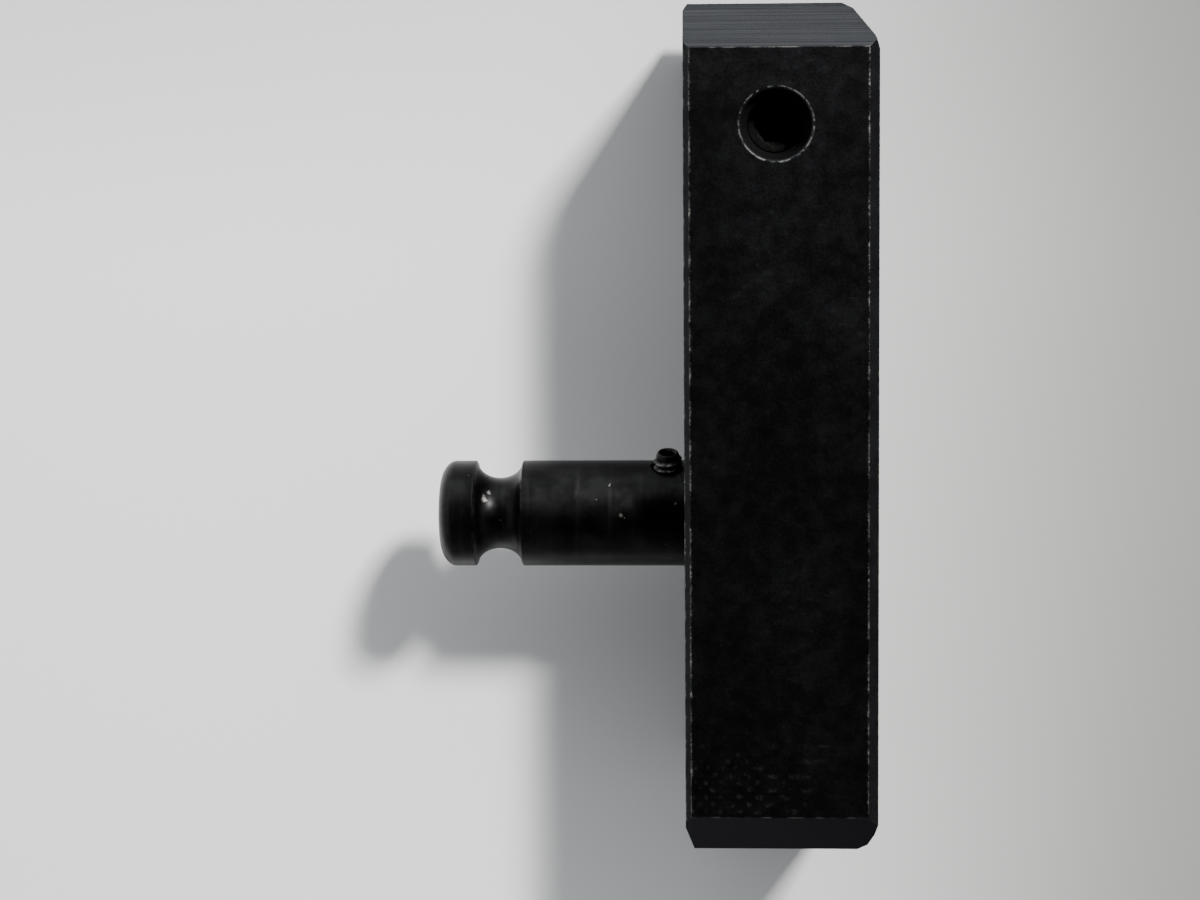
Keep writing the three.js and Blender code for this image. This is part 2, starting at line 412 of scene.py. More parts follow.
def hexSocket(size, place, direction):
    # cutters for a hexagon socket with a drilled bottom, from a face inwards, and its flared mouth
    radius = size["socket"] / math.sqrt(3)
    depth = size["socketDepth"]
    flare = radius + 0.12
    hexagon = [(-1, 0), (-1, radius), (depth, radius), (depth + radius * 0.45, 0)]
    mouth = [(-1, 0), (-1, flare + 1), (flare, 0)]
    return [turned("socket", hexagon, place, direction, 6),
            turned("socket mouth", mouth, place, direction, 48)]


# Finishes

def wornEdges(distances):
    # distance to the nearest edge of a solid, from the distances to its faces
    nearest, edge = distances[0], None
    for distance in distances[1:]:
        further = nearest.most(distance)
        edge = further if edge is None else edge.least(further)
        nearest = nearest.least(distance)
    return edge


blockLooks = {
    "oxide": (0.020, 0.0205, 0.022, 1), "oxideDark": (0.011, 0.011, 0.012, 1),
    # the head-end chamfer colour is a painted reflection, and the foot-end chamfer colour is
    # painted shade
    "paintedLitHeadCut": (0.047, 0.048, 0.0505, 1), "paintedShadeFootCut": (0.014, 0.014, 0.015, 1),
    # the hole colour is painted shade on the walls of the holes
    "paintedHoleShade": (0.005, 0.005, 0.005, 1),
    "hollowFrom": (0.05, 0.3), "hollowTo": (27.0, 25.0),     # depths that it fades between
    "steel": (0.24, 0.235, 0.22, 1), "speck": (0.10, 0.10, 0.097, 1),
    "glance": (0.46, 0.46, 0.47, 1),              # how bright the coat turns edge on
    "cutterRadius": 26, "cutterSide": 11, "millFeed": 1.7, "edgeWidth": 0.17,
}


def millMarks(bench, place, onFlat, broad, middling, broken):
    # arcs of a wide cutter, crossed by its trailing edge: their bright flecks and their height
    looks = blockLooks
    x, y, _ = bench.split(place)
    aside = x - looks["cutterSide"]
    swing = (looks["cutterRadius"] ** 2 - aside * aside).worked("SQRT")
    feed = 2 * math.pi / looks["millFeed"]
    wander = bench.noise(place, 0.30, 2)
    leading = ((y + swing) * feed + wander * 9).worked("SINE")
    trailing = ((y - swing) * feed - wander * 7 + middling * 4).worked("SINE")
    nearFoot = (y * -1).fade(blockHalf.y * 0.62, blockHalf.y * 0.86)
    crossed = (nearFoot * x.fade(7.0, -1.0) + broad.fade(0.50, 0.66) * 0.3).kept() * onFlat
    crossings = (leading * 0.5 + trailing * 0.5).fade(0.05, 1.0)
    flecks = crossings * crossed * broken.fade(0.40, 0.62)
    return flecks, (leading + trailing) * 0.14 * crossed


def blackedBlock(faces, rims):
    looks = blockLooks
    bench = Finish("blacked block", {"Metallic": 0.97, "Specular Tint": looks["glance"]})
    place = bench.place(blockMiddle)
    x, y, z = bench.split(place)
    distances = []
    for normal, reach in faces:
        along = bench.add("ShaderNodeVectorMath", {"operation": "DOT_PRODUCT"},
                          [place, tuple(normal)], "Value")
        distances.append(abs(reach - along))
    edge = wornEdges(distances)
    longEdge = wornEdges(distances[:2] + distances[4:6] + distances[10:])

    broad = bench.noise(place, 0.09, 3)
    middling = bench.noise(place, 0.55, 4)
    fine = bench.noise(place, 4.5, 3)
    broken = bench.noise(place, 1.6, 4, 0.65)

    # which kind of face this is
    onFlat = (blockHalf.z - abs(z)).fade(0.12, 0.04)
    paintedLitHeadCut = distances[6].least(distances[7]).fade(0.06, 0.02) * (1 - onFlat)
    paintedShadeFootCut = distances[8].least(distances[9]).fade(0.06, 0.02) * (1 - onFlat)
    onCut = paintedLitHeadCut + paintedShadeFootCut

    flecks, milled = millMarks(bench, place, onFlat, broad, middling, broken)

    # the end cuts carry straight lines across, the long sides lines lengthways
    across = bench.streaks(place, (0.03, 5.0, 5.0))
    lengthways = bench.streaks(place, (7.0, 0.12, 7.0))
    lines = across * onCut + lengthways * (1 - onCut) * 0.6

    # wear: a thin bright line on the edges, broken up, and on the rims of the holes
    line = longEdge.fade(looks["edgeWidth"], 0.03)
    chipped = (broken * 0.55 + fine * 0.45).fade(0.48, 0.62) * middling.fade(0.34, 0.58)
    wear = line * chipped * 0.75 + edge.fade(0.10, 0.02) * middling.fade(0.45, 0.62) * 0.30
    wear = wear * (1 - onCut * 0.8)
    for rim in rims:
        wear = wear.most(rimWear(bench, (x, y, z), rim) * broken.fade(0.42, 0.60) * 0.8)
    specks = bench.noise(place, 7.0, 2, 0.5).fade(0.70, 0.76) * middling.fade(0.38, 0.62)
    slanted = bench.add("ShaderNodeMapping", None, {"Vector": place,
                        "Rotation": (0, 0, math.radians(28)), "Scale": (0.25, 5.0, 1.0)})
    scratches = bench.noise(slanted, 1.0, 2).fade(0.735, 0.77) * broad.fade(0.40, 0.60)

    mottled = (broad * 0.3 + middling * 0.35 + fine * 0.35).fade(0.36, 0.66)
    coat = bench.tint(mottled, looks["oxideDark"], looks["oxide"])
    # painted reflection: the head-end chamfers are painted lighter, with streaks across; painted
    # shade: the foot-end chamfers are painted darker
    coat = bench.tint(((across - 0.20) * 1.9).kept() * paintedLitHeadCut, coat, looks["paintedLitHeadCut"])
    coat = bench.tint(paintedShadeFootCut, coat, looks["paintedShadeFootCut"])
    marks = (specks * 0.3 + scratches * 0.25 + flecks * 0.16).kept()
    coat = bench.tint(marks, coat, looks["speck"])
    # painted shade: the walls of the holes are painted nearly black
    holeShade = sum(holeShadeMask(bench, (x, y, z), rim) for rim in rims).kept()
    coat = bench.tint(holeShade, coat, looks["paintedHoleShade"])
    wear = wear.kept()
    bench.wire("Base Color", bench.tint(wear, coat, looks["steel"]))
    dull = 0.30 + mottled * 0.07 + lines * 0.05 + flecks * 0.15 + specks * 0.1 + holeShade * 0.4
    bench.wire("Roughness", dull + wear * 0.06)
    height = fine * 0.35 + lines * 0.35 + middling * 0.12 - scratches * 0.5
    bench.bump(height + milled + wear * 0.15, 0.35, 0.02)
    return bench.material


def rimWear(bench, axes, rim):
    # a bright ring where a hole breaks a face; rim gives the hole's axis number, centre and radius
    others = [axes[i] - rim["centre"][i] for i in range(3) if i != rim["axis"]]
    ring = abs(bench.distance(*others) - rim["radius"]).fade(0.16, 0.03)
    onFace = abs(axes[rim["axis"]] - rim["centre"][rim["axis"]]).fade(0.75, 0.25)
    return ring * onFace


def holeShadeMask(bench, axes, rim):
    # 1 on the wall of a hole, from just inside its mouth, where the coat is painted dark as shade
    others = [axes[i] - rim["centre"][i] for i in range(3) if i != rim["axis"]]
    within = bench.distance(*others).fade(rim["radius"] - 0.12, rim["radius"] - 0.3)
    below = abs(axes[rim["axis"]] - rim["centre"][rim["axis"]])
    return within * below.fade(*blockLooks["hollowFrom"]) * below.fade(*blockLooks["hollowTo"])


studLooks = {
    "oxide": (0.011, 0.011, 0.011, 1), "oxideDark": (0.005, 0.005, 0.005, 1),
    "steel": (0.26, 0.25, 0.235, 1), "rub": (0.032, 0.031, 0.029, 1),
    "glance": (0.9, 0.9, 0.9, 1),
    # bare spots on the upper side, partly rubbed wear and partly painted highlight: distance from
    # the tip, towards +Y, radius
    "wearAndGlintSpots": ((5.5, 2.3, 0.50), (6.0, 3.0, 0.26), (22.0, 0.7, 0.24), (22.4, 0.35, 0.15),
              (28.4, 2.0, 0.22)),
}


def turnedStud(groove):
    looks = studLooks
    bench = Finish("turned stud", {"Metallic": 0.97, "Specular Tint": looks["glance"]})
    place = bench.place((studLow.x, studMiddle.y, studMiddle.z))
    along, y, z = bench.split(place)
    rings = bench.streaks(place, (9.0, 0.05, 0.05))
    bands = bench.streaks(place, (1.1, 0.06, 0.06), 3.0)
    patches = bench.noise(place, 0.35, 4)
    broken = bench.noise(place, 1.5, 4, 0.65)
    fine = bench.noise(place, 5.0, 3)
    middle = (groove["start"] + groove["end"]) / 2
    half = (groove["end"] - groove["start"]) / 2
    lips = abs(abs(along - middle) - half).fade(0.26, 0.04)
    outward = bench.distance(y, z)
    nose = outward.fade(studRadius - 3.4, studRadius - 1.9) * along.fade(2.0, 0.3)
    rubbed = lips * broken.fade(0.35, 0.75) * 0.28 + nose * broken.fade(0.25, 0.85) * 0.10
    # the listed spots are bare steel on the upper side only, partly rubbed wear and partly a
    # painted highlight
    for reach, side, size in looks["wearAndGlintSpots"]:
        gap = bench.distance(along - reach, y - side) + (broken - 0.5) * size * 3.5
        rubbed = rubbed.most(gap.fade(size, size * 0.2) * z.fade(0, 1) * 0.55)
    nicks = bench.noise(place, 1.3, 2, 0.5).fade(0.76, 0.80)
    scuffs = bench.streaks(place, (1.2, 0.5, 0.5), 3.0).fade(0.58, 0.75) * bands.fade(0.4, 0.7)
    coat = bench.tint(patches.fade(0.35, 0.65), looks["oxideDark"], looks["oxide"])
    coat = bench.tint((bands.fade(0.5, 0.75) * 0.18 + scuffs * 0.4).kept(), coat, looks["rub"])
    wear = (rubbed + nicks * 0.5).kept()
    bench.wire("Base Color", bench.tint(wear, coat, looks["steel"]))
    bench.wire("Roughness", 0.27 + patches * 0.12 + rings * 0.08 + wear * 0.05)
    height = rings * 0.6 + fine * 0.25 + bands * 0.3 - nicks * 1.2
    bench.bump(height, 0.35, 0.02)
    return bench.material


def blackedScrew(name, place, direction, radius, crest, bare=0.3):
    # crests and corners rubbed to bare steel; radius and crest are where that starts and ends
    bench = Finish(name, {"Metallic": 0.97})
    local = bench.place(place)
    across = bench.add("ShaderNodeVectorMath", {"operation": "CROSS_PRODUCT"},
                       [local, tuple(direction)])
    outward = bench.add("ShaderNodeVectorMath", {"operation": "LENGTH"}, [across], "Value")
    broken = bench.noise(local, 2.2, 4, 0.6)
    fine = bench.noise(local, 7.0, 3)
    rubbed = outward.fade(radius, crest) * broken.fade(0.42, 0.62)
    coat = bench.tint(broken.fade(0.3, 0.7), (0.008, 0.008, 0.008, 1), (0.018, 0.0175, 0.017, 1))
    bench.wire("Base Color", bench.tint(rubbed * bare, coat, (0.24, 0.23, 0.22, 1)))
    bench.wire("Roughness", 0.36 + fine * 0.18)
    bench.bump(fine * 0.6 + broken * 0.4, 0.3, 0.015)
    return bench.material


def springSteel():
    bench = Finish("spring steel", {"Metallic": 0.95})
    place = bench.place(washerLow)
    mottled = bench.noise(place, 0.9, 4)
    drawn = bench.streaks(place, (6.0, 0.6, 0.6))
    bench.wire("Base Color", bench.tint(mottled, (0.05, 0.05, 0.055, 1), (0.13, 0.12, 0.11, 1)))
    bench.wire("Roughness", 0.34 + drawn * 0.2)
    bench.bump(drawn * 0.6 + mottled * 0.4, 0.3, 0.015)
    return bench.material


def turnedBrass():
    bench = Finish("turned brass", {"Metallic": 1.0})
    place = bench.place((clampMiddle.x, clampMiddle.y, padLow.z))
    x, y, z = bench.split(place)
    tarnish = bench.noise(place, 0.7, 4)
    faced = (bench.distance(x, y) * 38).worked("SINE") * z.fade(0.1, 0.02)
    fine = bench.noise(place, 6.0, 3)
    bench.wire("Base Color", bench.tint(tarnish.fade(0.35, 0.7), (0.60, 0.43, 0.17, 1),
                                        (0.30, 0.20, 0.08, 1)))
    bench.wire("Roughness", 0.26 + tarnish * 0.2)
    bench.bump(faced * 0.3 + fine * 0.5, 0.3, 0.015)
    return bench.material


# Tool block

blockSize = {
    "endCut": 5.2, "frontBevel": 1.25, "backBevel": 0.7,
    "frontHeadCorner": (3.3, 4.6), "frontFootCorner": (1.3, 3.2), "cornerEase": 0.8,
    "seatHeadCorner": (0.5, 0.8), "seatFootCorner": (1.0, 3.5),
    "edgeRound": 0.16, "rimBreak": 0.45, "mouth": 0.28, "studFit": 0.04,
    "boreRing": 0.4, "capRing": 0.3,               # from a hole's wall to its rim's bright ring
    "nicks": 26,
}
clampThread = {"thread": 7.94, "pitch": 1.411, "slack": 0.06, "socket": 3.97, "socketDepth": 2.6,
               "point": 0.5}
lockThread = {"thread": 4.83, "pitch": 1.058, "slack": 0.05, "socket": 2.38, "socketDepth": 2.4,
              "point": 0.8}
keyThread = {"thread": 3.5, "pitch": 0.794, "slack": 0.04, "socket": 1.6, "socketDepth": 1.5,
             "point": 0.3}
capThread = {"thread": 6.35, "pitch": 1.27, "slack": 0.05, "socket": 4.76, "socketDepth": 3.2}
toolBore = {"radius": 4.8, "height": 13.5, "mouth": 0.6}


def cutPlane(first, second, cut):
    # plane that cuts an edge back by cut mm along each of two faces, given as (axis, sign)
    (axisA, signA), (axisB, signB) = first, second
    cutA, cutB = cut if isinstance(cut, tuple) else (cut, cut)
    normal = Vector((0, 0, 0))
    normal[axisA] = signA * cutB
    normal[axisB] = signB * cutA
    corner = Vector((0, 0, 0))
    corner[axisA] = signA * (blockHalf[axisA] - cutA)
    corner[axisB] = signB * blockHalf[axisB]
    normal.normalize()
    return normal, normal.dot(corner)


def blockFaces():
    # every flat face of the block, as (outward normal, distance from its middle)
    size = blockSize
    faces = []
    for axis in range(3):
        for sign in (1, -1):
            normal = Vector((0, 0, 0))
            normal[axis] = sign
            faces.append((normal, blockHalf[axis]))
    for end in (1, -1):
        for side in (1, -1):
            faces.append(cutPlane((1, end), (2, side), size["endCut"]))
    for side in (1, -1):
        faces.append(cutPlane((0, 1), (2, side), size["frontBevel"]))
        faces.append(cutPlane((0, -1), (2, side), size["backBevel"]))
    faces.append(cutPlane((0, -1), (1, 1), size["seatHeadCorner"]))
    faces.append(cutPlane((0, -1), (1, -1), size["seatFootCorner"]))
    return faces


def frontCorners(faces):
    # the two upright corners of the front, each a cut with its own edges eased
    front, head, foot = faces[0], faces[2], faces[3]
    planes = []
    for end, side, name in ((head, 1, "frontHeadCorner"), (foot, -1, "frontFootCorner")):
        cut = cutPlane((0, 1), (1, side), blockSize[name])
        planes += [cut, easedPlane(front, cut), easedPlane(cut, end)]
    return planes


def easedPlane(first, second):
    # plane that takes off the edge where two faces meet
    total = first[0] + second[0]
    back = math.sin(first[0].angle(second[0]) / 2) * blockSize["cornerEase"]
    return total.normalized(), (first[1] + second[1]) / total.length - back


def blockBlank(cuts):
    # a box with each plane cut away in turn
    bench = bmesh.new()
    bmesh.ops.create_cube(bench, size=1.0)
    bmesh.ops.scale(bench, vec=blockHalf * 2, verts=bench.verts)
    for normal, reach in cuts:
        parts = bench.verts[:] + bench.edges[:] + bench.faces[:]
        cut = bmesh.ops.bisect_plane(bench, geom=parts, plane_co=normal * reach,
                                     plane_no=normal, clear_outer=True)
        rim = [part for part in cut["geom_cut"] if isinstance(part, bmesh.types.BMEdge)]
        bmesh.ops.edgeloop_fill(bench, edges=rim)
    mesh = bpy.data.meshes.new("blank")
    bench.to_mesh(mesh)
    bench.free()
    mesh.transform(Matrix.Translation(blockMiddle))
    rounding = {"width": blockSize["edgeRound"], "segments": 3, "limit_method": "NONE"}
    return evaluated("blank", tidied(mesh), [("BEVEL", rounding)])


def drill(place, direction, radius, depth, rimBreak, sides=96):
    # cutter for a round hole with its rim broken, from a face inwards
    path = [(-1, 0), (-1, radius + rimBreak + 1), (rimBreak * 0.35, radius + rimBreak * 0.65),
            (rimBreak, radius), (depth, radius), (depth, 0)]
    return turned("drill", path, place, direction, sides)


def throughDrill(place, direction, radius, length, rimBreak):
    # cutter for a round hole right through, with the rim broken on both sides
    lip = [(-1, radius + rimBreak + 1), (rimBreak * 0.35, radius + rimBreak * 0.65),
           (rimBreak, radius)]
    farLip = [(length - along, wide) for along, wide in reversed(lip)]
    return turned("through drill", [(-1, 0), *lip, *farLip, (length + 1, 0)], place, direction)


def edgeNicks(count, seed):
    # small dents knocked into the long edges of the top
    chance = random.Random(seed)
    dents = []
    for _ in range(count):
        front = chance.random() < 0.6
        radius = chance.uniform(0.5, 1.1)
        sink = chance.uniform(0.03, 0.09)
        bevel = blockSize["frontBevel"] if front else blockSize["backBevel"]
        outward = Vector((1 if front else -1, 0, 1)).normalized()
        inset = bevel if chance.random() < 0.5 else 0.0
        corner = Vector((blockHigh.x - inset if front else blockLow.x + inset,
                         chance.uniform(blockLow.y + 8, blockHigh.y - 8),
                         blockHigh.z if inset else blockHigh.z - bevel))
        centre = corner + outward * (radius - sink)
        path = [(radius - radius * math.cos(math.pi * step / 8),
                 radius * math.sin(math.pi * step / 8)) for step in range(9)]
        path[0], path[-1] = (0, 0), (2 * radius, 0)
        dents.append(turned("dent", path, centre - yAxis * radius, yAxis, 14))
    return dents


def toolBlock():
    size = blockSize
    faces = blockFaces()
    corners = frontCorners(faces)
    mesh = blockBlank(faces[6:] + corners)
    across = blockHigh.x - blockLow.x
    boreAt = Vector((blockLow.x, clampMiddle.y, toolBore["height"]))
    boreFront = boreAt + xAxis * across
    clampTop = Vector((clampMiddle.x, clampMiddle.y, blockHigh.z))
    studAt = Vector((blockLow.x, studMiddle.y, studMiddle.z))
    capAt = Vector((blockHigh.x, capMiddle.y, capMiddle.z))
    lockAt = Vector((lockMiddle.x, lockMiddle.y, 0))
    capHole = capHigh.y - capMiddle.y + 0.3
    washerFloor = blockHigh.x - washerLow.x + 0.05
    cutters = [
        throughDrill(boreAt, xAxis, toolBore["radius"], across, toolBore["mouth"]),
        drill(clampTop, -zAxis, clampThread["thread"] / 2, blockHigh.z - toolBore["height"],
              size["mouth"]),
        drill(studAt, xAxis, studRadius + size["studFit"], studHigh.x - blockLow.x + 0.05, 0.2),
        drill(capAt, -xAxis, capHole, washerFloor, size["rimBreak"]),
        drill(capAt, -xAxis, capThread["thread"] / 2 + 0.2, across * 0.8, 0.1, 64),
        drill(lockAt, zAxis, lockThread["thread"] / 2, lockHigh.z + 0.5, 0.35, 64),
        *edgeNicks(size["nicks"], seed=7),
    ]
    mesh = carved("block", mesh, cutters)
    boreRing = toolBore["radius"] + size["boreRing"]
    rimPlaces = (
        (2, clampTop, clampThread["thread"] / 2 + size["mouth"]),
        (0, boreAt, boreRing),
        (0, boreFront, boreRing),
        (0, capAt, capHole + size["capRing"]),
    )
    rims = [{"axis": axis, "centre": centre - blockMiddle, "radius": radius}
            for axis, centre, radius in rimPlaces]
    material = blackedBlock(faces + [corners[0], corners[3]], rims)
    boreRoof = toolBore["height"] + toolBore["radius"]
    clampRidge = threadMesh(clampThread, boreRoof + 0.2, blockHigh.z - 0.5,
                            Vector((clampMiddle.x, clampMiddle.y, 0)), zAxis, material, True)
    lockRidge = threadMesh(lockThread, 0.4, lockHigh.z - 0.3,
                           Vector((lockMiddle.x, lockMiddle.y, 0)), zAxis, material, True)
    whole = gathered("block_body", [mesh, clampRidge, lockRidge])
    return finished("block_body", whole, material, "holder", "tool_block")


# Pull stud

keySize = {"length": 4.7, "proud": 1.85}
keyRoot = Vector((keyMiddle.x, studMiddle.y, studMiddle.z))
keyAxis = (keyMiddle - keyRoot).normalized()

studSize = {
    "headLength": 4.4, "noseAlong": 1.9, "noseAcross": 2.9, "grooveWidth": 5.5, "neck": 8.5,
    "lipRound": 0.14, "flatDepth": 1.1,
}


def flatCutter():
    # for the flat that the lock screw bears on
    depth = 2.0
    bench = bmesh.new()
    bmesh.ops.create_cube(bench, size=1.0)
    flatSize = Vector((lockHigh.x - lockLow.x + 1.2, 2 * studRadius, depth))
    top = studLow.z + studSize["flatDepth"]
    flatMiddle = Vector((lockMiddle.x, studMiddle.y, top - depth / 2))
    bmesh.ops.scale(bench, vec=flatSize, verts=bench.verts)
    bmesh.ops.translate(bench, vec=flatMiddle, verts=bench.verts)
    mesh = bpy.data.meshes.new("flat")
    bench.to_mesh(mesh)
    bench.free()
    return mesh


def pullStud():
    size = studSize
    steps = 14
    path = [(0, 0), (0, (studRadius - size["noseAcross"]) * 0.5)]
    for i in range(steps + 1):
        angle = i / steps * math.pi / 2
        path.append((size["noseAlong"] * (1 - math.cos(angle)),
                     studRadius - size["noseAcross"] * (1 - math.sin(angle))))
    grooveHalf = size["grooveWidth"] / 2
    grooveDepth = studRadius - size["neck"] / 2
    lip = size["lipRound"]
    path.append((size["headLength"] - lip, studRadius))
    for i in range(1, 2 * steps):
        angle = i / (2 * steps) * math.pi
        path.append((size["headLength"] + grooveHalf * (1 - math.cos(angle)),
                     studRadius - grooveDepth * math.sin(angle)))
    path.append((size["headLength"] + size["grooveWidth"] + lip, studRadius))
    whole = studHigh.x - studLow.x
    path += [(whole - 0.5, studRadius), (whole, studRadius - 0.5), (whole, 0)]
    tip = Vector((studLow.x, studMiddle.y, studMiddle.z))
    mesh = turned("stud", path, tip, xAxis, 144)
    capDepth = studHigh.x - capLow.x + 1.2
    mesh = carved("stud", mesh, [
        drill(keyRoot + keyAxis * studRadius, -keyAxis, keyThread["thread"] / 2 + 0.03,
              keySize["length"] - keySize["proud"] + 0.1, 0.3, 64),
        drill(Vector((studHigh.x, studMiddle.y, studMiddle.z)), -xAxis,
              capThread["thread"] / 2 + 0.03, capDepth, 0.3, 64),
        flatCutter(),
    ])
    mesh.name = "stud_body"
    groove = {"start": size["headLength"], "end": size["headLength"] + size["grooveWidth"]}
    return finished("stud_body", mesh, turnedStud(groove), "holder", "pull_stud")


# Screws

def setScrew(name, size, top, bottom, direction, body, node, bare=0.3, bores=()):
    # socket set screw from its socket end to its point; direction runs from the socket inwards
    length = (bottom - top).length
    point = size["point"]
    core = coreRadius(size)
    pointRadius = core - point * 0.7
    path = softened([(0, 0, 0), (0, core - 0.15, 0.08), (0.35, core + 0.02, 0.08),
                     (length - point, core + 0.02, 0.1), (length, pointRadius, 0.1),
                     (length, 0, 0)])
    cutters = [*hexSocket(size, top, direction), *bores]
    mesh = carved(name, turned(name, path, top, direction, 64), cutters)
    material = blackedScrew(name + " finish", top, direction, core + 0.02, size["thread"] / 2, bare)
    upward = -direction
    low, high = sorted((top.dot(upward), bottom.dot(upward)))
    foot = top - upward * top.dot(upward)
    ridge = threadMesh(size, low + point, high - 0.1, foot, upward, material)
    return finished(name, gathered(name, [mesh, ridge]), material, body, node)


capSize = {
    "headHeight": 6.35, "plain": 2.6,              # plain is the shank under the head
    "knurlCount": 60, "knurlWidth": 0.26, "knurlStart": 0.9, "knurlShort": 1.5,
}


def capScrew():
    place = Vector((capHigh.x, capMiddle.y, capMiddle.z))
    head = capHigh.y - capMiddle.y
    core = coreRadius(capThread)
    headHeight, plain = capSize["headHeight"], capSize["plain"]
    length = capHigh.x - capLow.x
    path = softened([(0, 0, 0), (0, head - 0.6, 0.25), (0.5, head - 0.12, 0.2),
                     (headHeight, head - 0.12, 0.2), (headHeight, capThread["thread"] / 2, 0.2),
                     (headHeight + plain, capThread["thread"] / 2, 0.15),
                     (headHeight + plain + 0.5, core + 0.02, 0.15),
                     (length - 0.5, core + 0.02, 0.1), (length, core - 0.5, 0.1), (length, 0, 0)])
    body = carved("cap screw", turned("cap screw", path, place, -xAxis, 96),
                  hexSocket(capThread, place, -xAxis))
    material = blackedScrew("cap screw finish", place, xAxis, head - 0.7, head)
    foot = Vector((0, place.y, place.z))
    ridge = threadMesh(capThread, capLow.x + 0.3, capHigh.x - headHeight - plain, foot, xAxis,
                       material)
    knurl = grown(knurls, {
        "Count": capSize["knurlCount"], "Radius": head - 0.16, "Width": capSize["knurlWidth"],
        "Length": headHeight - capSize["knurlShort"], "Low end": capSize["knurlStart"],
        "Material": material})
    turn = zAxis.rotation_difference(-xAxis).to_matrix().to_4x4()
    knurl.transform(Matrix.Translation(place) @ turn)
    whole = gathered("cap_screw_body", [body, ridge, tidied(knurl)])
    return finished("cap_screw_body", whole, material, "holder", "stud_cap_screw")


# gap is in radians, sprung is how far the ends stand apart, soft is the wire's corner radius
washerSize = {"gap": 0.16, "sprung": 0.12, "steps": 96, "soft": 0.12}


def lockWasher():
    # one turn of square wire, its ends sprung apart
    outer = (washerHigh.y - washerLow.y) / 2
    inner = capThread["thread"] / 2 + 0.15
    middle = Vector((0, capMiddle.y, capMiddle.z))
    thick = washerHigh.x - washerLow.x
    gap, sprung, steps, soft = washerSize.values()
    section = []
    for along, radius, quarter in ((0, inner, 2), (0, outer, 3), (1, outer, 0), (1, inner, 1)):
        for i in range(4):
            angle = (quarter + i / 3) * math.pi / 2
            inset = Vector((soft if along == 0 else -soft, soft if radius == inner else -soft))
            centre = Vector((along * (thick - sprung), radius)) + inset
            section.append(centre + Vector((math.sin(angle), math.cos(angle))) * soft)
    centreOf = sum(section, Vector((0, 0))) / len(section)
    section.sort(key=lambda p: math.atan2(p.y - centreOf.y, p.x - centreOf.x))
    corners, faces = [], []
    for step in range(steps + 1):
        angle = math.pi / 2 + gap / 2 + (2 * math.pi - gap) * step / steps
        out = Vector((0, math.cos(angle), math.sin(angle)))
        for point in section:
            along = washerLow.x + point.x + sprung * step / steps
            corners.append(middle + out * point.y + xAxis * along)
    count = len(section)
    for step in range(steps):
        for i in range(count):
            j = (i + 1) % count
            a, b = step * count, (step + 1) * count
            faces.append([a + i, a + j, b + j, b + i])
    faces += [list(range(count)), list(range(steps * count, (steps + 1) * count))]
    mesh = tidied(meshFrom("washer", corners, faces))
    return finished("washer_body", mesh, springSteel(), "holder", "lock_washer")


padSize = {"head": 1.6, "stem": 1.2}


def clampPad():
    base = Vector((clampMiddle.x, clampMiddle.y, padLow.z))
    radius = (padHigh.x - padLow.x) / 2
    whole = padHigh.z - padLow.z
    head, stem = padSize["head"], padSize["stem"]
    path = softened([(0, 0, 0), (0, radius - 0.5, 0.2), (0.5, radius, 0.15),
                     (head, radius, 0.12), (head, stem, 0.15), (whole, stem, 0.2),
                     (whole, 0, 0)])
    mesh = turned("pad", path, base, zAxis, 72)
    return finished("pad_body", mesh, turnedBrass(), "pad", "clamp_pad")


toolBlock()
pullStud()
keyTop = keyRoot + keyAxis * (studRadius + keySize["proud"])
setScrew("key_screw_body", keyThread, keyTop, keyTop - keyAxis * keySize["length"], -keyAxis,
         "holder", "key_screw", bare=0.5)
capScrew()
lockWasher()
setScrew("lock_screw_body", lockThread, Vector((lockMiddle.x, lockMiddle.y, lockLow.z)),
         Vector((lockMiddle.x, lockMiddle.y, lockHigh.z)), zAxis, "holder", "lock_screw")
clampHead = Vector((clampMiddle.x, clampMiddle.y, clampHigh.z))
clampFoot = Vector((clampMiddle.x, clampMiddle.y, clampLow.z))
stemBore = drill(clampFoot, zAxis, padSize["stem"] + 0.15, padHigh.z - clampLow.z + 0.2, 0.2, 48)
setScrew("clamp_screw_body", clampThread, clampHead, clampFoot, -zAxis, "screw", "clamp_screw",
         bores=[stemBore])
clampPad()
print("pieces made")


# Floor, lights and camera

def floorSheet():
    bench = Finish("paper", {"Roughness": 0.9, "Specular IOR Level": 0.2})
    place = bench.place()
    x, y, _ = bench.split(place)
    soft = bench.noise(place, 0.012, 2)
    # painted shade: the paper is painted darker towards +X and towards +Y, standing in for the
    # lamps' fall-off
    paper = bench.tint(x.fade(-20, 80), (0.80, 0.80, 0.795, 1), (0.19, 0.188, 0.183, 1))
    paper = bench.tint(y.fade(15, 60) * 0.25, paper, (0, 0, 0, 1))
    bench.wire("Base Color", bench.tint(soft * 0.12, paper, (0.60, 0.60, 0.60, 1)))
    bench.bump(bench.noise(place, 1.2, 3), 0.08, 0.03)
    reach = 1500
    corners = [(-reach, -reach, 0), (reach, -reach, 0), (reach, reach, 0), (-reach, reach, 0)]
    mesh = meshFrom("floor", [Vector(corner) * mm for corner in corners], [[0, 1, 2, 3]])
    mesh.materials.append(bench.material)
    floor = bpy.data.objects.new("floor", mesh)
    bpy.context.scene.collection.objects.link(floor)


lamps = {   # bearing is from +X towards +Y, rise is above the floor, both in degrees
    "window": {"bearing": 55, "rise": 43, "far": 900, "size": (120, 120), "watts": 20.8,
               "colour": (1.0, 0.995, 0.98)},
    "skylight": {"bearing": 92, "rise": 7, "far": 700, "size": (1000, 160), "watts": 1.2,
                 "colour": (0.85, 0.92, 1.0)},
}


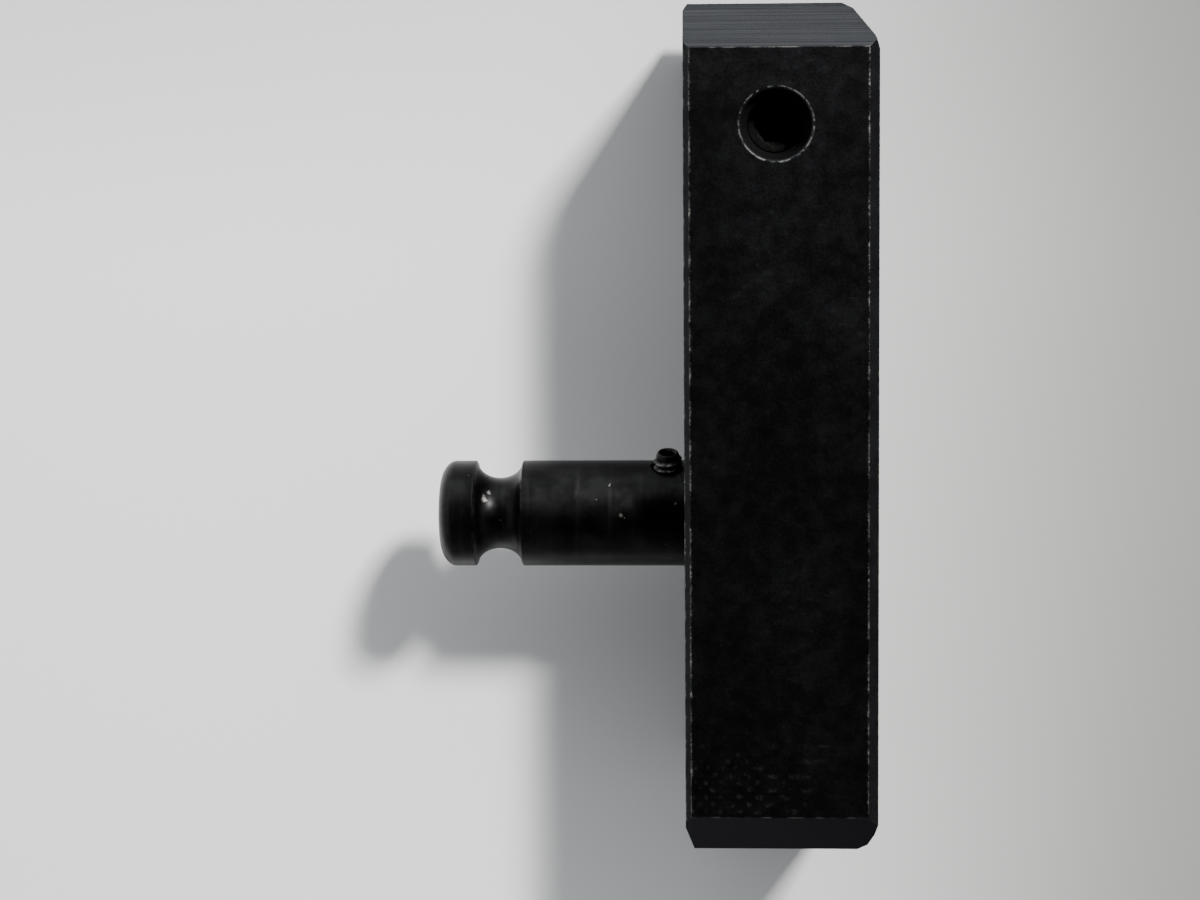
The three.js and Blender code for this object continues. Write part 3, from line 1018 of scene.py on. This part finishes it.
def hangLamps():
    target = Vector((blockMiddle.x, 0, 10)) * mm
    for name, lamp in lamps.items():
        data = bpy.data.lights.new(name, "AREA")
        data.shape = "RECTANGLE"
        data.size, data.size_y = (side * mm for side in lamp["size"])
        data.energy = lamp["watts"]
        data.color = lamp["colour"]
        obj = bpy.data.objects.new(name, data)
        bearing, rise = math.radians(lamp["bearing"]), math.radians(lamp["rise"])
        out = Vector((math.cos(bearing) * math.cos(rise), math.sin(bearing) * math.cos(rise),
                      math.sin(rise)))
        obj.location = target + out * lamp["far"] * mm
        obj.rotation_euler = out.to_track_quat("Z", "Y").to_euler()
        obj.visible_camera = False
        bpy.context.scene.collection.objects.link(obj)


def lightWorld():
    # pale low down and dark overhead, so that upward faces stay black, and paler towards +Y
    world = bpy.data.worlds.new("studio")
    world.use_nodes = True
    bench = Bench(world.node_tree)
    _, y, z = bench.split(bench.add("ShaderNodeTexCoord", None, None, "Generated"))
    level = (1 - z.fade(0.50, 0.88)) * (0.30 + y.fade(-0.7, 0.7) * 0.70)
    sky = bench.add("ShaderNodeMix", {"data_type": "RGBA"},
                    {0: level, 6: (0.01, 0.01, 0.01, 1), 7: (1.0, 1.02, 1.05, 1)}, 2)
    ground = world.node_tree.nodes["Background"]
    world.node_tree.links.new(sky.socket, ground.inputs["Color"])
    ground.inputs["Strength"].default_value = 1.95
    bpy.context.scene.world = world


# the camera's place is from the middle of the block, in mm, and its turn in degrees
view = {"from": (-9.9, 31.4, 275.7), "turn": (-4.51, 2.32, -0.41), "lens": 69, "shift": -0.0902}


def setCamera():
    data = bpy.data.cameras.new("camera")
    data.lens = view["lens"]
    data.sensor_width = 36
    data.shift_y = view["shift"]
    data.clip_start = 0.01
    camera = bpy.data.objects.new("camera", data)
    camera.location = (blockMiddle + Vector(view["from"])) * mm
    camera.rotation_euler = [math.radians(angle) for angle in view["turn"]]
    bpy.context.scene.collection.objects.link(camera)
    bpy.context.scene.camera = camera


floorSheet()
hangLamps()
lightWorld()
setCamera()
print("stage set")

bpy.context.view_layer.update()
